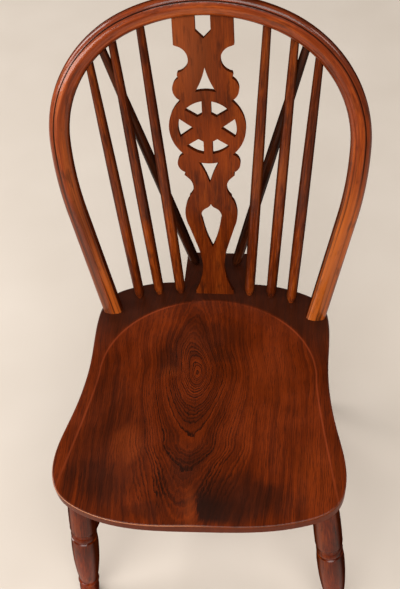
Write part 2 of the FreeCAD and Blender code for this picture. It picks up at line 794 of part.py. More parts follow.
floor = doc.addObject("Part::Box", "floor")
floor.Length, floor.Width, floor.Height = 700, 900, 60
floor.Placement = Placement(Vector(-350, -450, -60), Rotation())


def leg_ends(side, row):
    """The leg's axis: where it stands on the floor, and where it meets the underside of the seat."""
    foot = at_seat(side * size(f"leg_{row}_foot_x"), size(f"leg_{row}_foot_y"))
    foot.z = 0
    top = at_seat(side * size(f"leg_{row}_top_x"), size(f"leg_{row}_top_y"), -size("seat_thick"))
    return foot, top


def up_leg(side, row, height):
    """The point of a leg's axis at a height along it."""
    foot, top = leg_ends(side, row)
    return foot + (top - foot).normalize() * height


def side_stretcher(side_name, side):
    """A stretcher from the front leg to the back leg, its tips at the middle of each leg."""
    front, back = (up_leg(side, row, size("stretcher_height")) for row in ("front", "back"))
    stretcher = turned(f"stretcher_{side_name}_turned", side_stretcher_stations((back - front).Length))
    stretcher.Placement = along(front, back)
    return stretcher, (front + back) * 0.5


side_stretchers = {}
middles = []
for side_name, side in SIDES:
    side_stretchers[side_name], middle = side_stretcher(side_name, side)
    middles.append(middle)

cross_length = (middles[1] - middles[0]).Length
cross = turned("stretcher_cross", cross_stretcher_stations(cross_length))
cross.Placement = along(*middles)

for side_name, stretcher in side_stretchers.items():
    label(cut(stretcher, cross, f"stretcher_{side_name}_bored"), f"stretcher_{side_name}")

legs = []
for side_name, side in SIDES:
    for row in ("front", "back"):
        foot, top = leg_ends(side, row)
        name = f"leg_{row}_{side_name}"
        leg = turned(f"{name}_turned", leg_stations(f"{(top - foot).Length:.2f}"))
        leg.Placement = along(foot, top)
        level = cut(leg, floor, f"{name}_level")
        legs.append(label(cut(level, side_stretchers[side_name], f"{name}_bored"), name))

# Sockets

hoop_slotted = cut(hoop_whole, group([splat] + sticks, "hoop_fittings"), "hoop_slotted")
hoop = label(cut(hoop_slotted, hoop_wedges, "hoop_wedged"), "hoop")

seat_fittings = group([hoop_whole, splat] + sticks + legs, "seat_fittings")
seat = label(cut(blank, seat_fittings, "seat_bored"), "seat")

doc.recompute()

NODES = ["seat", "hoop", "hoop_wedges", "splat"]
NODES += [stick.Label for stick in sticks]
NODES += [f"leg_{row}_{side}" for row in ("front", "back") for side in ("left", "right")]
NODES += ["stretcher_left", "stretcher_right", "stretcher_cross"]

failed = [f"{item.Label} {item.State}" for item in doc.Objects
          if "Invalid" in item.State or "Error" in item.State]
if failed:
    raise RuntimeError("did not compute: " + ", ".join(failed))

os.makedirs("parts", exist_ok=True)
for name in NODES:
    piece = doc.getObjectsByLabel(name)[0]
    if piece.Shape.isNull() or not piece.Shape.isValid():
        raise RuntimeError(f"{name} has no valid shape")
    piece.Shape.exportStep(f"parts/{name}.step")
    box = piece.Shape.BoundBox
    print(f"{name}: {len(piece.Shape.Solids)} solid(s), {piece.Shape.Volume / 1000:.1f} cm3, "
          f"z {box.ZMin:.1f} to {box.ZMax:.1f}")
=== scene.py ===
import math
import bpy
from mathutils import Matrix, Vector


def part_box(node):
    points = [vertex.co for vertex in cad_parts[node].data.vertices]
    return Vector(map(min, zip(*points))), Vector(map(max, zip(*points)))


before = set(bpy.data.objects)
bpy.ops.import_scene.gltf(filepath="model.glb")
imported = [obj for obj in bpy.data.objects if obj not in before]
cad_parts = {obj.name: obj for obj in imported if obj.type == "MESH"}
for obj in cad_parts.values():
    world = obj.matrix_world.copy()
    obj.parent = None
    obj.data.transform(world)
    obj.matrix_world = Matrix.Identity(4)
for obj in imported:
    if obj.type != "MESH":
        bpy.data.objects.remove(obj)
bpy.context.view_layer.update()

MM = 0.001

# Places on the chair are given in millimetres from the seat's datum, the point on the flat of the seat
# where the front face of the splat stands. X runs to the right as seen from the front, and Y to the back.
DATUM = Vector((0, 0.1413, 0.435))


def at_seat(x, y, z):
    """A point given in millimetres from the seat's datum, in the row frame."""
    return DATUM + Vector((x, y, z)) * MM


# Materials

# The colour sockets of Blender's Mix node, by their numbers
MIX_SHARE, MIX_FIRST, MIX_SECOND, MIX_RESULT = 0, 6, 7, 2

# The way a noise pattern is moved for each unit of its seed
SEED_WAY = (1.0, 1.7, 0.6)

WAX_IOR = 1.45
COAT_ROUGHNESS = 0.1


def paint(red, green, blue):
    """An sRGB colour, given from 0 to 255, as the linear one that Blender mixes."""
    def linear(value):
        share = value / 255
        return share / 12.92 if share <= 0.04045 else ((share + 0.055) / 1.055) ** 2.4
    return (linear(red), linear(green), linear(blue), 1.0)


class Look:
    """One procedural material. Each method adds nodes and gives back the socket that carries the result."""

    def __init__(self, name):
        self.material = bpy.data.materials.new(name)
        self.material.use_nodes = True
        self.tree = self.material.node_tree
        self.tree.nodes.clear()
        self.output = self.node("ShaderNodeOutputMaterial")
        where = self.node("ShaderNodeTexCoord")
        self.place = where.outputs["Object"]
        self.normal = where.outputs["Normal"]

    def node(self, kind, inputs=(), **settings):
        made = self.tree.nodes.new(kind)
        for key, value in settings.items():
            setattr(made, key, value)
        for key, value in dict(inputs).items():
            self.put(made.inputs[key], value)
        return made

    def put(self, socket, value):
        if isinstance(value, bpy.types.NodeSocket):
            self.tree.links.new(value, socket)
        else:
            socket.default_value = value

    def math(self, operation, *values):
        return self.node("ShaderNodeMath", enumerate(values), operation=operation).outputs[0]

    def add(self, *values):
        total = values[0]
        for value in values[1:]:
            total = self.math("ADD", total, value)
        return total

    def times(self, *values):
        total = values[0]
        for value in values[1:]:
            total = self.math("MULTIPLY", total, value)
        return total

    def less(self, value, taken):
        return self.math("SUBTRACT", value, taken)

    def length(self, *sides):
        """The length of a step with these sides."""
        return self.math("SQRT", self.add(*(self.times(side, side) for side in sides)))

    def fade(self, value, start, end, low=0.0, high=1.0):
        """Goes smoothly from low at start to high at end."""
        if start > end:
            start, end, low, high = end, start, high, low
        inputs = {"Value": value, "From Min": start, "From Max": end, "To Min": low, "To Max": high}
        return self.node("ShaderNodeMapRange", inputs, interpolation_type="SMOOTHSTEP").outputs["Result"]

    def line(self, value, middle, half):
        """1 where value is middle, and 0 from half away on."""
        away = self.math("ABSOLUTE", self.add(value, -middle))
        return self.fade(away, 0.0, half, 1.0, 0.0)

    def bell(self, value, width):
        """A bell curve: 1 at 0, and 0.37 at width."""
        share = self.times(value, 1 / width)
        return self.math("EXPONENT", self.times(share, share, -1.0))

    def settling(self, value, final, width):
        """Rises from 0 towards final, most of the way within two widths."""
        left = self.math("EXPONENT", self.times(value, -1 / width))
        return self.times(self.less(1.0, left), final)

    def mix(self, share, first, second):
        inputs = {MIX_SHARE: share, MIX_FIRST: first, MIX_SECOND: second}
        return self.node("ShaderNodeMix", inputs, data_type="RGBA").outputs[MIX_RESULT]

    def ramp(self, value, *stops):
        made = self.node("ShaderNodeValToRGB", {"Fac": value})
        elements = made.color_ramp.elements
        for index, (position, colour) in enumerate(stops):
            element = elements[index] if index < 2 else elements.new(position)
            element.position, element.color = position, colour
        return made.outputs["Color"]

    def toned(self, value, tones):
        """The dark, the middle and the light tone as value goes from 0 to 1."""
        dark, middle, light = tones
        return self.ramp(value, (0.0, dark), (1.0, light), (0.5, middle))

    def axes(self, vector):
        return self.node("ShaderNodeSeparateXYZ", {0: vector}).outputs

    def vector(self, x, y, z):
        return self.node("ShaderNodeCombineXYZ", {0: x, 1: y, 2: z}).outputs[0]

    def scaled(self, vector, scales):
        return self.node("ShaderNodeVectorMath", {0: vector, 1: scales}, operation="MULTIPLY").outputs[0]

    def local(self, frame_of_grain, unit=1.0):
        """The place on the chair, seen from another frame and measured in units of so many metres."""
        where, turn, _ = frame_of_grain.decompose()
        inputs = {"Vector": self.place, "Location": where, "Rotation": turn.to_euler(),
                  "Scale": (unit, unit, unit)}
        return self.node("ShaderNodeMapping", inputs, vector_type="TEXTURE").outputs[0]

    def facing(self, direction):
        """1 where a face looks along direction or straight against it, 0 where it stands edge on."""
        along = self.node("ShaderNodeVectorMath", {0: self.normal, 1: direction},
                          operation="DOT_PRODUCT").outputs["Value"]
        return self.math("ABSOLUTE", along)

    def noise(self, vector, counts, detail, roughness, shift, seed=0.0):
        """Noise with so many features per unit along each axis. shift and seed move its pattern."""
        moves = tuple((seed + shift) * way for way in SEED_WAY)
        moved = self.node("ShaderNodeVectorMath", {0: self.scaled(vector, counts), 1: moves},
                          operation="ADD").outputs[0]
        inputs = {"Vector": moved, "Scale": 1.0, "Detail": detail, "Roughness": roughness}
        return self.node("ShaderNodeTexNoise", inputs).outputs[0]

    def chance(self, number):
        """A number from 0 to 1 that differs at random from one whole number to the next."""
        return self.node("ShaderNodeTexWhiteNoise", {"W": number}, noise_dimensions="1D").outputs["Value"]

    def finish(self, colour, roughness, height, depth, sheen, coat):
        """The wax-polished surface: a soft sheen under a thin, smoother coat."""
        bump = self.node("ShaderNodeBump", {"Height": height, "Strength": 1.0, "Distance": depth})
        inputs = {"Base Color": colour, "Roughness": roughness, "Normal": bump.outputs[0],
                  "IOR": WAX_IOR, "Specular IOR Level": sheen, "Coat Weight": coat,
                  "Coat Roughness": COAT_ROUGHNESS, "Coat IOR": WAX_IOR}
        surface = self.node("ShaderNodeBsdfPrincipled", inputs)
        self.put(self.output.inputs["Surface"], surface.outputs[0])
        return self.material


def wear(node_name, material):
    """Puts a material on a CAD node."""
    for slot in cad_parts[node_name].material_slots:
        slot.material = material


# Stained wood

# A dark old-polish colour, also laid as painted shade on faces turned aside, in the hoop's groove and on
# the legs' heads
PATINA_AND_SHADE = paint(30, 12, 6)

# Layers of grain: features per metre across, through and along the wood, the noise's detail and
# roughness, and a shift that keeps each layer's pattern apart from the others
BROAD = ((26, 26, 4.5), 3, 0.55, 0.0)
STREAK = ((170, 170, 4), 4, 0.62, 3.1)
FINE = ((620, 620, 34), 3, 0.6, 7.7)
FLECK = ((1100, 1100, 110), 1, 0.5, 11.3)
MOTTLE = ((75, 75, 19), 3, 0.6, 15.0)
HANDLING = ((30, 30, 12), 2, 0.5, 19.0)

# How much the broad, the streaky and the fine layer count in the figure of a wood
STREAKY = (0.42, 0.4, 0.18)
EVEN = (0.5, 0.14, 0.36)

# Fades, here and below: where each starts and ends, and its values there where those aren't 0 and 1.
# These go by the value of a layer, and the last one by the edge.
FIGURE_RANGE = (0.34, 0.66)
FLECK_RANGE = (0.6, 0.74)
MOTTLE_RANGE = (0.53, 0.68)
WAX_ROUGHNESS = (0.3, 0.7, 0.26, 0.4)
EDGE_DULLING = (0.2, 0.95, 1.0, 0.0)

FLECK_SHARE, MOTTLE_SHARE, EDGE_SHADE_SHARE = 0.45, 0.5, 0.7
STREAK_HEIGHT, FINE_HEIGHT = 0.6, 0.4
GRAIN_DEPTH = 0.15 * MM
WAX_SHEEN, WAX_COAT = 0.12, 0.12


def grain_frame(foot, head):
    """A frame at foot whose Z axis points to head."""
    turn = (head - foot).to_track_quat("Z", "Y")
    return Matrix.Translation(foot) @ turn.to_matrix().to_4x4()


def dressed(look, grain, tones, seed, edge, figure, washes, sheen=WAX_SHEEN, coat=WAX_COAT):
    """Stained, wax-polished wood whose grain runs along Z of grain, in metres.

    tones are the dark, middle and light colours, and figure is STREAKY or EVEN. edge is 1 where a face
    turns aside: there it is given painted shade and loses its sheen and coat. washes are pairs of a share
    and a colour laid over the wood.
    """
    broad, streak, fine, fleck, mottle, handling = (
        look.noise(grain, *layer, seed) for layer in (BROAD, STREAK, FINE, FLECK, MOTTLE, HANDLING))
    tone = look.add(*(look.times(part, share) for part, share in zip((broad, streak, fine), figure)))
    colour = look.toned(look.fade(tone, *FIGURE_RANGE), tones)
    # The mottle is the wood's own; the darkening by the edge is painted shade
    mottle_and_shade = ((look.times(look.fade(mottle, *MOTTLE_RANGE), MOTTLE_SHARE), PATINA_AND_SHADE),
           (look.times(edge, EDGE_SHADE_SHARE), PATINA_AND_SHADE))
    flecks = (look.times(look.fade(fleck, *FLECK_RANGE), FLECK_SHARE), tones[0])
    for share, wash in (flecks, *washes, *mottle_and_shade):
        colour = look.mix(share, colour, wash)
    roughness = look.fade(handling, *WAX_ROUGHNESS)
    height = look.add(look.times(streak, STREAK_HEIGHT), look.times(fine, FINE_HEIGHT))
    dull = look.fade(edge, *EDGE_DULLING)
    sheen, coat = look.times(dull, sheen), look.times(dull, coat)
    return look.finish(colour, roughness, height, GRAIN_DEPTH, sheen, coat)


# Seat

# The raised line of the saddle, as the part has it
SADDLE_HALF = 170.0
SADDLE_LENGTH = 145.0
SADDLE_CENTRE_Y = -160.0
SADDLE_FLARE = 0.2
SADDLE_FLARE_EASE = 50.0

# The pith: where it meets the face, how far it lies to the side behind that and how much it sways
KNOT_X, KNOT_Y = -17.0, -151.0
PITH_BACK_X, PITH_BACK_Y = -28.0, -90.0
PITH_SWAY = 14.0

# How it dives to the front and to the back: a depth, the length in which it gets there and a slope that
# goes on. A second knot lifts it a little.
DIVE_AHEAD = (58.0, 85.0, 0.13)
DIVE_BEHIND = (50.0, 100.0, 0.05)
SECOND_KNOT_Y, SECOND_KNOT_WIDTH, SECOND_KNOT_RISE = -283.0, 18.0, 5.0

# How the rings are pinched in beside the pith, and how thick each is
PINCH, PINCH_WIDTH = 9.0, 30.0
RING_STEP = 2.8

# Fades by how far a place lies to the side of the pith
FLANK_DEPTH = (50.0, 130.0, 1.0, 0.45)
FLANK_RIPPLE = (20.0, 70.0, 5.0, 4.0)
FLANK_STRENGTH = (34.0, 90.0, 1.0, 0.45)
THICK_MIDDLE = (50.0, 30.0)

# Fades by Y
THICK_FRONT = (-230.0, -300.0, 0.0, 0.35)
FRONT_STRENGTH = (-392.0, -352.0, 0.45, 1.0)
BACK_STRENGTH = (-120.0, -70.0, 1.0, 0.4)

# Fades by the way through one ring, by a random number of its year and by a noise over the board
LATE_WOOD_START = (0.25, 0.85)
LATE_WOOD_END = (0.92, 1.0, 1.0, 0.0)
YEAR_STRENGTH = (0.1, 0.7, 0.35, 1.1)
BROKEN_STRENGTH = (0.35, 0.6, 0.5, 1.0)

# Layers as above, but in features per millimetre across, along and through the board. The last two go by
# the distance from the pith, by Y and by a fixed number instead.
CLOUD = ((0.016, 0.012, 0.02), 3, 0.55, 12.0)
BEND = ((0.012, 0.010, 0.03), 2, 0.5, 4.0)
RIPPLE = ((0.13, 0.05, 0.1), 3, 0.6, 9.0)
BROKEN = ((0.5, 0.1, 0.4), 2, 0.6, 21.0)
PORES = ((0.9, 0.05, 0.6), 2, 0.6, 5.0)
YEARS = ((0.11, 0.002, 3.0), 3, 0.65, 0.0)
RING_STREAK = ((0.32, 0.008, 1.0), 3, 0.6, 2.0)

SEAT_TONES = (paint(58, 17, 2), paint(86, 28, 3), paint(114, 41, 6))
STREAK_PART, CLOUD_PART, YEARS_PART = 0.3, 0.3, 0.4
SEAT_FIGURE_RANGE = (0.3, 0.7)
RING_DARK = paint(32, 10, 3)
PORE_RANGE, PORE_SHARE = (0.52, 0.68), 0.55
KNOT_DARK = (1.0, 3.0, 0.6, 0.0)

# Patches: the middle, the half width and half length, the strength and the colour of each
AMBER, DULL_AMBER, DEEP_AMBER = paint(140, 58, 18), paint(130, 52, 12), paint(124, 48, 12)
SEAT_PATCHES = (
    (58, -364, 76, 38, 0.6, PATINA_AND_SHADE),
    (-66, -130, 26, 34, 0.5, PATINA_AND_SHADE),
    (-18, -320, 30, 44, 0.4, PATINA_AND_SHADE),
    (-16, -215, 26, 50, 0.1, PATINA_AND_SHADE),
    (-15, -85, 80, 40, 0.42, PATINA_AND_SHADE),
    (25, -124, 30, 14, 0.35, PATINA_AND_SHADE),
    (-148, -342, 52, 44, 0.45, PATINA_AND_SHADE),
    (-70, -386, 40, 20, 0.45, PATINA_AND_SHADE),
    (-130, -300, 70, 120, 0.38, PATINA_AND_SHADE),
    (-150, -190, 24, 60, 0.25, PATINA_AND_SHADE),
    (-60, -150, 16, 16, 0.2, AMBER),
    (-108, -278, 24, 30, 0.3, AMBER),
    (172, -320, 44, 60, 0.25, DULL_AMBER),
    (120, -365, 50, 30, 0.25, PATINA_AND_SHADE),
    (100, -150, 40, 70, 0.25, DEEP_AMBER))
PATCH_SWAY_X, PATCH_SWAY_Y, PATCH_RAGGED = 50.0, 60.0, 0.9
PATCH_CORE, PATCH_RIM = 0.4, 1.15

# The stain at the front, between fades by Y and X, and the pale stripe along its sharp left side
STAIN_BACK, STAIN_FRONT = (-335.0, -372.0), (-406.0, -392.0)
STAIN_RIGHT, STAIN_LEFT = (110.0, 20.0), (-33.0, -30.0)
STAIN_SLANT, STAIN_RAGGED, STAIN_SWAY, STAIN_SHARE = 0.1, 14.0, 60.0, 0.9
STRIPE_BACK, STRIPE_SHARE, STRIPE_COLOUR = (-335.0, -370.0), 0.3, paint(130, 54, 18)
STRIPE_X, STRIPE_HALF = -43.0, 12.0

# Nearly black old polish outside the saddle's line, where a place's reach is 1
OUTSIDE_REACH, OUTSIDE_BACK = (0.985, 1.03), (-150.0, -50.0)
OLD_POLISH, OLD_POLISH_SHARE = paint(38, 17, 9), 0.78

# The line itself, rubbed light: less so near the middle, to the front and here and there
LINE_REACH, LINE_HALF, LINE_COLOUR = 0.994, 0.013, paint(128, 52, 24)
MIDDLE_X, MIDDLE_LIGHT = 20.0, (60.0, 110.0, 0.1, 0.75)
FRONT_LIGHT, CLOUD_LIGHT = (-390.0, -250.0, 0.5, 1.0), (0.3, 0.6, 0.6, 1.0)

# The edge, by how far a face turns from level, and the rounding of the edge, with a pale painted
# highlight at the front left
EDGE_TURN, EDGE_TINT, EDGE_TINT_SHARE = (0.85, 0.35), paint(100, 38, 10), 0.6
ROUNDING_TURN, ROUNDING_HALF, ROUNDING_FRONT = 0.6, 0.35, (-250.0, -330.0)
ROUNDING_HIGHLIGHT_LEFT, ROUNDING_HIGHLIGHT_PAINT = (40.0, -20.0, 0.1, 0.6), paint(206, 140, 100)

SEAT_ROUGHNESS = (0.3, 0.7, 0.28, 0.42)
SEAT_DULLING = (0.5, 1.0, 1.0, 0.2)
SEAT_SHEEN, SEAT_COAT = 0.14, 0.2
ROUNDING_COAT, ROUNDING_COAT_LEFT = 0.6, (60.0, -20.0)
RING_HEIGHT, PORE_HEIGHT, SEAT_GRAIN_DEPTH = -0.4, 0.35, 0.12 * MM


class SeatLook(Look):
    """A flat-sawn board, seen in millimetres from the datum.

    Its rings are rounds about a pith that meets the face at a knot behind the seat's middle and dives
    under it on both sides, so they show as ovals, U shapes and long flanks.
    """

    def __init__(self):
        super().__init__("seat_wood")
        self.board = self.local(Matrix.Translation(DATUM), MM)
        self.x, self.y, _ = self.axes(self.board)
        self.cloud = self.noise(self.board, *CLOUD)
        self.bend = self.add(self.noise(self.board, *BEND), -0.5)
        self.ripple = self.add(self.noise(self.board, *RIPPLE), -0.5)
        self.aside = self.beside_pith()
        self.ring = self.from_pith()
        self.by_ring = self.vector(self.ring, self.y, 1.0)
        self.streak = self.noise(self.by_ring, *RING_STREAK)
        self.pores = self.noise(self.board, *PORES)
        self.rings = self.late_wood()

    def beside_pith(self):
        """How far a place lies to the side of the pith."""
        pith_x = self.fade(self.y, KNOT_Y, PITH_BACK_Y, KNOT_X, PITH_BACK_X)
        return self.math("ABSOLUTE", self.add(self.less(self.x, pith_x), self.times(self.bend, PITH_SWAY)))

    def dive(self, distance, depth, length, slope):
        return self.add(self.settling(distance, depth, length), self.times(distance, slope))

    def from_pith(self):
        """How far a place lies from the pith, straight through the wood."""
        ahead = self.math("MAXIMUM", self.less(KNOT_Y, self.y), 0.0)
        behind = self.math("MAXIMUM", self.add(self.y, -KNOT_Y), 0.0)
        second_knot = self.bell(self.add(self.y, -SECOND_KNOT_Y), SECOND_KNOT_WIDTH)
        depth = self.add(self.dive(ahead, *DIVE_AHEAD), self.dive(behind, *DIVE_BEHIND),
                         self.times(second_knot, -SECOND_KNOT_RISE))
        depth = self.times(depth, self.fade(self.aside, *FLANK_DEPTH))
        pinched = self.add(self.aside, self.settling(self.aside, PINCH, PINCH_WIDTH))
        return self.add(self.length(pinched, depth),
                        self.times(self.ripple, self.fade(self.aside, *FLANK_RIPPLE)))

    def late_wood(self):
        """How dark the rings are: the late wood of each year, stronger in some years and places."""
        count = self.times(self.ring, 1 / RING_STEP)
        phase = self.math("FRACT", count)
        thick = self.times(self.fade(self.y, *THICK_FRONT), self.fade(self.aside, *THICK_MIDDLE))
        late = self.times(self.fade(self.add(phase, thick), *LATE_WOOD_START),
                          self.fade(phase, *LATE_WOOD_END))
        year = self.chance(self.math("FLOOR", count))
        strength = self.times(self.fade(year, *YEAR_STRENGTH),
                              self.fade(self.noise(self.board, *BROKEN), *BROKEN_STRENGTH),
                              self.fade(self.aside, *FLANK_STRENGTH),
                              self.fade(self.y, *FRONT_STRENGTH), self.fade(self.y, *BACK_STRENGTH))
        return self.times(late, strength)

    def saddle_reach(self):
        """How far out of the saddle a place is: 1 on its raised line."""
        forward = self.math("MAXIMUM", self.less(SADDLE_CENTRE_Y, self.y), 0.0)
        flare = self.math("DIVIDE", self.times(forward, forward, SADDLE_FLARE),
                          self.add(forward, SADDLE_FLARE_EASE))
        sideways = self.math("DIVIDE", self.x, self.add(flare, SADDLE_HALF))
        backward = self.math("MAXIMUM", self.add(self.y, -SADDLE_CENTRE_Y), 0.0)
        return self.length(sideways, self.times(backward, 1 / SADDLE_LENGTH))

    def wood(self):
        """The board's own colour, before its rings."""
        years = self.noise(self.by_ring, *YEARS)
        tone = self.add(self.times(self.streak, STREAK_PART), self.times(self.cloud, CLOUD_PART),
                        self.times(years, YEARS_PART))
        return self.toned(self.fade(tone, *SEAT_FIGURE_RANGE), SEAT_TONES)

    def patched(self, colour):
        sway_x = self.times(self.bend, PATCH_SWAY_X)
        sway_y = self.times(self.add(self.cloud, -0.5), PATCH_SWAY_Y)
        ragged = self.times(self.add(self.streak, -0.5), PATCH_RAGGED)
        for x, y, half_width, half_length, share, patch_colour in SEAT_PATCHES:
            away_x = self.times(self.add(self.x, -x, sway_x), 1 / half_width)
            away_y = self.times(self.add(self.y, -y, sway_y), 1 / half_length)
            away = self.add(self.length(away_x, away_y), ragged)
            colour = self.mix(self.fade(away, PATCH_CORE, PATCH_RIM, share, 0.0), colour, patch_colour)
        return colour

    def grained(self, colour):
        """Adds the rings, the pores and the dark middle of the knot."""
        for share in (self.rings, self.times(self.fade(self.pores, *PORE_RANGE), PORE_SHARE),
                      self.fade(self.ring, *KNOT_DARK)):
            colour = self.mix(share, colour, RING_DARK)
        return colour

    def stained(self, colour):
        """Adds the stain at the front and the pale stripe beside it."""
        slanted = self.add(self.x, self.times(self.y, STAIN_SLANT), self.times(self.ripple, STAIN_RAGGED))
        stain = self.times(self.fade(self.add(self.y, self.times(self.bend, STAIN_SWAY)), *STAIN_BACK),
                           self.fade(self.y, *STAIN_FRONT), self.fade(self.x, *STAIN_RIGHT),
                           self.fade(slanted, *STAIN_LEFT), STAIN_SHARE)
        stripe = self.times(self.fade(self.y, *STRIPE_BACK), self.line(slanted, STRIPE_X, STRIPE_HALF),
                            STRIPE_SHARE)
        return self.mix(stripe, self.mix(stain, colour, PATINA_AND_SHADE), STRIPE_COLOUR)

    def polished(self, colour):
        """Adds the old polish outside the saddle's line, and the line, which is rubbed light."""
        reach = self.saddle_reach()
        outside = self.times(self.fade(reach, *OUTSIDE_REACH), self.fade(self.y, *OUTSIDE_BACK),
                             OLD_POLISH_SHARE)
        from_middle = self.math("ABSOLUTE", self.add(self.x, -MIDDLE_X))
        light = self.times(self.fade(from_middle, *MIDDLE_LIGHT), self.fade(self.cloud, *CLOUD_LIGHT),
                           self.fade(self.y, *FRONT_LIGHT))
        rubbed = self.times(self.line(reach, LINE_REACH, LINE_HALF), light)
        return self.mix(rubbed, self.mix(outside, colour, OLD_POLISH), LINE_COLOUR)

    def dress(self):
        upright = self.facing((0, 0, 1))
        edge = self.fade(upright, *EDGE_TURN)
        rounding = self.times(self.line(upright, ROUNDING_TURN, ROUNDING_HALF),
                              self.fade(self.y, *ROUNDING_FRONT))
        colour = self.polished(self.stained(self.grained(self.patched(self.wood()))))
        colour = self.mix(self.times(edge, EDGE_TINT_SHARE), colour, EDGE_TINT)
        # A pale painted highlight on the rounding at the front left
        colour = self.mix(self.times(rounding, self.fade(self.x, *ROUNDING_HIGHLIGHT_LEFT)), colour, ROUNDING_HIGHLIGHT_PAINT)
        height = self.add(self.times(self.rings, RING_HEIGHT), self.times(self.pores, PORE_HEIGHT))
        dull = self.fade(edge, *SEAT_DULLING)
        extra = self.times(rounding, self.fade(self.x, *ROUNDING_COAT_LEFT), ROUNDING_COAT)
        return self.finish(colour, self.fade(self.cloud, *SEAT_ROUGHNESS), height, SEAT_GRAIN_DEPTH,
                           self.times(dull, SEAT_SHEEN), self.add(self.times(dull, SEAT_COAT), extra))


wear("seat", SeatLook().dress())

# Hoop

# Its line, as the part has it: straight feet, then three bends on each side
RAKE = math.radians(17.85)
HOOP_FRONT_Y, HOOP_DEPTH = -49.3, 23.0
FOOT_HALF, LEAN, STRAIGHT = 166.3, math.radians(12.2), 189.0
SIDE_BEND, SHOULDER_BEND, CROWN_BEND = 546.0, 193.5, 254.8
HEADING = Vector((math.sin(LEAN), math.cos(LEAN)))
OUTWARD = Vector((math.cos(LEAN), -math.sin(LEAN)))

HOOP_TONES = (paint(72, 24, 4), paint(128, 50, 12), paint(172, 82, 26))
HOOP_SEED = 1.0
HOOP_SHEEN, HOOP_COAT = 0.2, 0.6
HOOP_EDGE_TURN = (0.8, 0.2)
HOOP_FACE = (0.0, 0.7, 1.0, 0.0)

# The groove beside the bead, which gets painted shade: where it lies to the outside, its half width, the
# height over the hoop's middle above which it shows, and how the painted shade fades out towards the feet
GROOVE_OUT, GROOVE_HALF = 6.5, 1.7
GROOVE_FRONT = (7.0, 9.5)
GROOVE_SHADE_FADE = (330.0, 420.0, 1.0, 0.3)

# Fades by the way from the crown, which is negative on the left half
RIGHT_FOOT, LEFT_FOOT = (330.0, 500.0), (-440.0, -600.0)
WARM_MIDDLE, WARM_HALF = -380.0, 150.0
LINES_SHARE = (250.0, 450.0, 0.2, 0.7)

# Fades by the way across the hoop to its outside
LEFT_DARK_OUT = (-3.0, 5.0)
LEFT_PALE_OUT = (-7.0, -1.0, 0.65, 0.1)
RIGHT_PALE_OUT = (-6.0, 12.0, 0.6, 0.3)
WARM_OUT = (2.0, -6.0)

LEFT_DARK_SHARE, WARM_SHARE = 0.6, 0.5
RIGHT_PALE, LEFT_PALE, WARM = paint(188, 98, 34), paint(182, 90, 28), paint(168, 84, 36)
OPEN_GRAIN, OPEN_GRAIN_RANGE = ((340, 340, 3.5), 3, 0.6, 31.0), (0.5, 0.6)


def raked(front_y, rake, back=0.0):
    """A board's plane in the row frame: x across the chair, y up the slope, z towards the front.

    The board's front face meets the seat at front_y, and the plane lies so far back in the board.
    """
    foot = at_seat(0, front_y + back * math.cos(rake), -back * math.sin(rake))
    return Matrix.Translation(foot) @ Matrix.Rotation(math.pi / 2 - rake, 4, "X")


def front_of(rake):
    """The way that the front face of a raked board looks."""
    return (0, -math.cos(rake), math.sin(rake))


def hoop_bends():
    """The bends of the right half: the centre, the radius, and the angles where it starts and ends."""
    straight_end = Vector((FOOT_HALF, 0)) + HEADING * STRAIGHT
    side = straight_end - OUTWARD * SIDE_BEND
    shoulder = side + Vector((SIDE_BEND - SHOULDER_BEND, 0))
    turned = math.acos(shoulder.x / (CROWN_BEND - SHOULDER_BEND))
    crown = Vector((0, shoulder.y - (CROWN_BEND - SHOULDER_BEND) * math.sin(turned)))
    return ((side, SIDE_BEND, -LEAN, 0.0), (shoulder, SHOULDER_BEND, 0.0, turned),
            (crown, CROWN_BEND, turned, math.pi / 2))


def hoop_grain(look):
    """The place seen along the hoop's bent line, in millimetres, worked out bend by bend.

    Gives the way across the hoop, to its outside; the way to its front; and the way along it from
    the crown, which is negative on the left half.
    """
    x, up, front = look.axes(look.local(raked(HOOP_FRONT_Y, RAKE, HOOP_DEPTH / 2), MM))
    half = look.math("ABSOLUTE", x)
    foot_x = look.add(half, -FOOT_HALF)
    along = look.add(look.times(foot_x, HEADING.x), look.times(up, HEADING.y))
    out = look.add(look.times(foot_x, OUTWARD.x), look.times(up, OUTWARD.y))
    past_straight = look.less(1.0, look.math("LESS_THAN", along, STRAIGHT))
    run = STRAIGHT
    for centre, bend, start, end in hoop_bends():
        from_x, from_y = look.add(half, -centre.x), look.add(up, -centre.y)
        angle = look.math("ARCTAN2", from_y, from_x)
        past = past_straight if bend == SIDE_BEND else look.math("GREATER_THAN", angle, start)
        before = look.less(1.0, past)
        bend_along = look.add(look.times(look.add(angle, -start), bend), run)
        bend_out = look.add(look.length(from_x, from_y), -bend)
        along = look.add(look.times(past, bend_along), look.times(before, along))
        out = look.add(look.times(past, bend_out), look.times(before, out))
        run += bend * (end - start)
    from_crown = look.times(look.less(run, along), look.math("SIGN", x))
    return out, front, from_crown


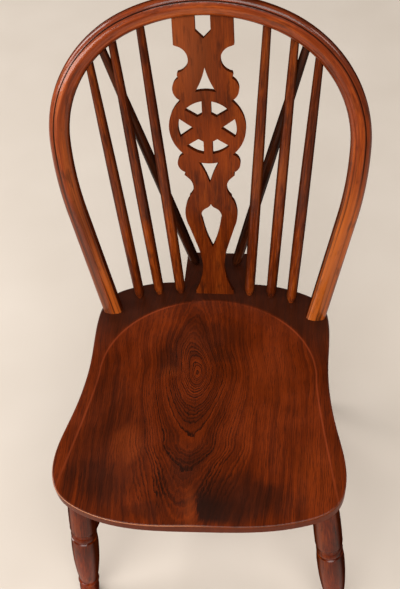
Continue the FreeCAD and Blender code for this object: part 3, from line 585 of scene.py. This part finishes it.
def hoop_look():
    look = Look("hoop_wood")
    out, front, from_crown = hoop_grain(look)
    grain = look.scaled(look.vector(out, front, from_crown), (MM, MM, MM))
    # Painted shade where the hoop's faces turn away from its front
    edge = look.fade(look.facing(front_of(RAKE)), *HOOP_EDGE_TURN)
    face = look.fade(edge, *HOOP_FACE)
    distance = look.math("ABSOLUTE", from_crown)
    groove = look.times(look.line(out, GROOVE_OUT, GROOVE_HALF), look.fade(front, *GROOVE_FRONT),
                        look.fade(distance, *GROOVE_SHADE_FADE))
    right_foot = look.fade(from_crown, *RIGHT_FOOT)
    left_foot = look.fade(from_crown, *LEFT_FOOT)
    warm = look.times(look.line(from_crown, WARM_MIDDLE, WARM_HALF), look.fade(out, *WARM_OUT), face)
    lines = look.fade(look.noise(grain, *OPEN_GRAIN), *OPEN_GRAIN_RANGE)
    washes = ((look.times(left_foot, look.fade(out, *LEFT_DARK_OUT), LEFT_DARK_SHARE), PATINA_AND_SHADE),
              (look.times(right_foot, face, look.fade(out, *RIGHT_PALE_OUT)), RIGHT_PALE),
              (look.times(warm, WARM_SHARE), WARM),
              (look.times(left_foot, face, look.fade(out, *LEFT_PALE_OUT)), LEFT_PALE),
              (look.times(lines, look.fade(distance, *LINES_SHARE)), PATINA_AND_SHADE),
              (groove, PATINA_AND_SHADE))
    # The edges and the groove get painted shade and lose their gloss
    shaded_places = look.math("MAXIMUM", edge, groove)
    return dressed(look, grain, HOOP_TONES, HOOP_SEED, shaded_places, STREAKY, washes, HOOP_SHEEN, HOOP_COAT)


hoop_wood = hoop_look()
wear("hoop", hoop_wood)
wear("hoop_wedges", hoop_wood)

# Splat

# Straight-grained, with painted shade on its cut faces and a pale painted reflection at its top left.
# Places on it are in metres from its foot.
SPLAT_RAKE = math.radians(13.15)
SPLAT_LEAN = math.radians(0.22)
SPLAT_TONES = (paint(66, 22, 3), paint(96, 35, 5), paint(126, 54, 11))
SPLAT_SEED = 5.0
CUT_TURN = (0.9, 0.3)
WHEEL_UP = 0.27
WHEEL_RUBBED, WHEEL_COLOUR = (0.02, 0.07, 0.3, 0.0), paint(150, 62, 14)
PAINTED_SHEEN_UP, PAINTED_SHEEN_LEFT, PAINTED_SHEEN_COLOUR = (0.3, 0.42), (0.03, -0.03, 0.1, 0.36), paint(160, 82, 42)


def splat_look():
    look = Look("splat_wood")
    face = raked(0, SPLAT_RAKE) @ Matrix.Rotation(SPLAT_LEAN, 4, "Z")
    grain = look.local(face @ Matrix.Rotation(-math.pi / 2, 4, "X"))
    x, _, up = look.axes(grain)
    # Painted shade on the cut faces, which turn away from the front
    cut_shade = look.fade(look.facing(front_of(SPLAT_RAKE)), *CUT_TURN)
    rubbed = look.fade(look.length(x, look.add(up, -WHEEL_UP)), *WHEEL_RUBBED)
    # A pale painted reflection at the top left
    painted_sheen = look.times(look.fade(up, *PAINTED_SHEEN_UP), look.fade(x, *PAINTED_SHEEN_LEFT))
    washes = ((rubbed, WHEEL_COLOUR), (painted_sheen, PAINTED_SHEEN_COLOUR))
    return dressed(look, grain, SPLAT_TONES, SPLAT_SEED, cut_shade, EVEN, washes)


wear("splat", splat_look())

# Turned pieces

STICK_TONES = (paint(54, 17, 3), paint(106, 40, 8), paint(156, 72, 20))
# The stays' tones are darker, as painted shade where they stand behind the splat and the seat
STAY_SHADE_TONES = (paint(34, 14, 6), paint(62, 27, 11), paint(98, 44, 18))
LEG_TONES = (paint(72, 20, 2), paint(110, 34, 3), paint(146, 60, 10))

# Roughly how thick each kind is, in millimetres, and how strong its sheen and its coat are
STICK_THICK, LEG_THICK, STRETCHER_THICK = 14, 28, 20
STICK_POLISH, STAY_POLISH, LEG_POLISH = (0.06, 0.35), (0.06, 0.16), (0.0, 0.4)

# The kinds that come in pairs, with the signs by which the piece rises to its own side and to the back
PAIRS = (
    ("stick_{}_outer", STICK_THICK, 1, 1, STICK_TONES, STICK_POLISH),
    ("stick_{}_middle", STICK_THICK, 1, 1, STICK_TONES, STICK_POLISH),
    ("stick_{}_inner", STICK_THICK, 1, 1, STICK_TONES, STICK_POLISH),
    ("stay_{}", STICK_THICK, 1, 1, STAY_SHADE_TONES, STAY_POLISH),
    ("leg_front_{}", LEG_THICK, -1, 1, LEG_TONES, LEG_POLISH),
    ("leg_back_{}", LEG_THICK, -1, -1, LEG_TONES, LEG_POLISH),
    ("stretcher_{}", STRETCHER_THICK, 1, -1, LEG_TONES, LEG_POLISH))
FIRST_SEED, SEED_STEP, CROSS_SEED = 20.0, 1.3, 60.0

# The painted shade on the sides, by how far a face turns sideways, the dark head, from a share of half
# the length on, which is painted shade under the seat on the legs, and the smooth rings' coat, by how
# far a face turns up
SIDE_SHADE_TURN = (0.45, 0.95)
HEAD_START, HEAD_END, HEAD_SHARE = 0.6, 0.95, 0.32
UP_TURN, UP_COAT = (0.42, 0.6), 0.6


def turned_look(name, thickness, outwards, backwards, tones, polish, seed):
    """The wood of a slender piece that rises outwards and backwards by these signs through its box.

    Each has its own stretch of wood along its axis.
    """
    low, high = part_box(name)
    reach = (high - low) / 2 - Vector((1, 1, 1)) * thickness / 2 * MM
    rise = Vector((outwards * reach.x, backwards * reach.y, max(reach.z, 0)))
    middle = (low + high) / 2
    look = Look(name + "_wood")
    grain = look.local(grain_frame(middle - rise, middle + rise))
    # Painted shade on the faces that turn sideways
    side = look.fade(look.facing((1, 0, 0)), *SIDE_SHADE_TURN)
    # A darker head: on the legs this is painted shade under the seat
    head = look.fade(look.axes(grain)[2], HEAD_START * rise.length, HEAD_END * rise.length)
    washes = ((look.times(head, HEAD_SHARE), PATINA_AND_SHADE),)
    sheen, coat = polish
    smooth = look.add(look.times(look.fade(look.facing((0, 0, 1)), *UP_TURN), UP_COAT), coat)
    return dressed(look, grain, tones, seed, side, EVEN, washes, sheen, smooth)


seed = FIRST_SEED
for side_name, side in (("left", -1), ("right", 1)):
    for pattern, thickness, outwards, backwards, tones, polish in PAIRS:
        seed += SEED_STEP
        name = pattern.format(side_name)
        wear(name, turned_look(name, thickness, side * outwards, backwards, tones, polish, seed))
cross_wood = turned_look("stretcher_cross", STRETCHER_THICK, 1, 0, LEG_TONES, LEG_POLISH, CROSS_SEED)
wear("stretcher_cross", cross_wood)

# Floor

FLOOR_HALF = 8.0
FLOOR_MOTTLE = ((4, 4, 4), 2, 0.5, 0.0)
FLOOR_STOPS = ((0.3, (0.62, 0.55, 0.48, 1)), (0.7, (0.66, 0.59, 0.52, 1)))
FLOOR_ROUGHNESS, FLOOR_SHEEN = 0.9, 0.1


def floor_look():
    look = Look("floor_paint")
    tone = look.ramp(look.noise(look.place, *FLOOR_MOTTLE), *FLOOR_STOPS)
    inputs = {"Base Color": tone, "Roughness": FLOOR_ROUGHNESS, "Specular IOR Level": FLOOR_SHEEN}
    surface = look.node("ShaderNodeBsdfPrincipled", inputs)
    look.put(look.output.inputs["Surface"], surface.outputs[0])
    return look.material


floor_mesh = bpy.data.meshes.new("floor")
corners = [(sx * FLOOR_HALF, sy * FLOOR_HALF, 0) for sx, sy in ((-1, -1), (1, -1), (1, 1), (-1, 1))]
floor_mesh.from_pydata(corners, [], [(0, 1, 2, 3)])
floor_mesh.materials.append(floor_look())
floor = bpy.data.objects.new("floor", floor_mesh)
bpy.context.scene.collection.objects.link(floor)

# Light

# The room gives little light of its own, and the camera sees it pale
ROOM_LIGHT, ROOM_SEEN = 0.1, 0.62
ROOM_COLOUR = (1.0, 0.95, 0.89, 1)
WARM_WHITE, DAYLIGHT = (1, 0.97, 0.93), (1, 0.98, 0.96)

# Soft boxes: the place and the point it faces in metres, the width and height, the watts and the colour
SOFT_BOXES = {
    "ceiling_light": ((0.2, -1.9, 3.4), (0, 0.1, 0.4), 3.2, 2.0, 116, WARM_WHITE),
    "left_window": ((-2.4, 0.0, 2.1), (0, 0.1, 0.7), 1.3, 1.3, 54, DAYLIGHT),
    "right_window": ((2.2, -0.3, 2.5), (0, 0.1, 0.7), 0.9, 0.9, 16, WARM_WHITE),
    "rim_light": ((-1.8, -2.2, 1.25), (-0.1, -0.2, 0.43), 1.8, 0.6, 30, DAYLIGHT),
    "back_left_light": ((-1.9, 2.6, 1.3), (0, 0.2, 0.6), 1.2, 1.2, 22, WARM_WHITE),
    "back_right_light": ((1.9, 2.6, 1.3), (0, 0.2, 0.6), 1.2, 1.2, 22, WARM_WHITE)}

scene = bpy.context.scene


def room():
    world = bpy.data.worlds.new("room")
    world.use_nodes = True
    tree = world.node_tree
    seen = tree.nodes.new("ShaderNodeLightPath").outputs["Is Camera Ray"]
    strength = tree.nodes.new("ShaderNodeMapRange")
    strength.inputs["To Min"].default_value = ROOM_LIGHT
    strength.inputs["To Max"].default_value = ROOM_SEEN
    background = tree.nodes["Background"]
    background.inputs["Color"].default_value = ROOM_COLOUR
    tree.links.new(seen, strength.inputs["Value"])
    tree.links.new(strength.outputs["Result"], background.inputs["Strength"])
    return world


def soft_box(name, where, target, width, height, watts, colour):
    lamp = bpy.data.lights.new(name, "AREA")
    lamp.shape, lamp.size, lamp.size_y = "RECTANGLE", width, height
    lamp.energy, lamp.color = watts, colour
    holder = bpy.data.objects.new(name, lamp)
    holder.location = where
    holder.rotation_mode = "QUATERNION"
    holder.rotation_quaternion = (Vector(target) - Vector(where)).to_track_quat("-Z", "Y")
    scene.collection.objects.link(holder)


scene.world = room()
for box_name, settings in SOFT_BOXES.items():
    soft_box(box_name, *settings)

# Camera

# Its lens and sensor in millimetres, its place in metres and its own axes, fitted to the photo
LENS, SENSOR = 52.3, 36.0
NEAR, FAR = 0.05, 60
EYE = Vector((0.1303, -0.7369, 1.5518))
RIGHT = Vector((0.99359, 0.09142, -0.06652))
UP = Vector((-0.03072, 0.78450, 0.61938))
BACK = Vector((0.10881, -0.61336, 0.78228))

camera_data = bpy.data.cameras.new("camera")
camera_data.lens, camera_data.sensor_width, camera_data.sensor_fit = LENS, SENSOR, "AUTO"
camera_data.clip_start, camera_data.clip_end = NEAR, FAR
camera = bpy.data.objects.new("camera", camera_data)
camera.matrix_world = Matrix.Translation(EYE) @ Matrix((RIGHT, UP, BACK)).transposed().to_4x4()
scene.collection.objects.link(camera)
scene.camera = camera
scene.view_settings.view_transform = "Standard"

bpy.context.view_layer.update()
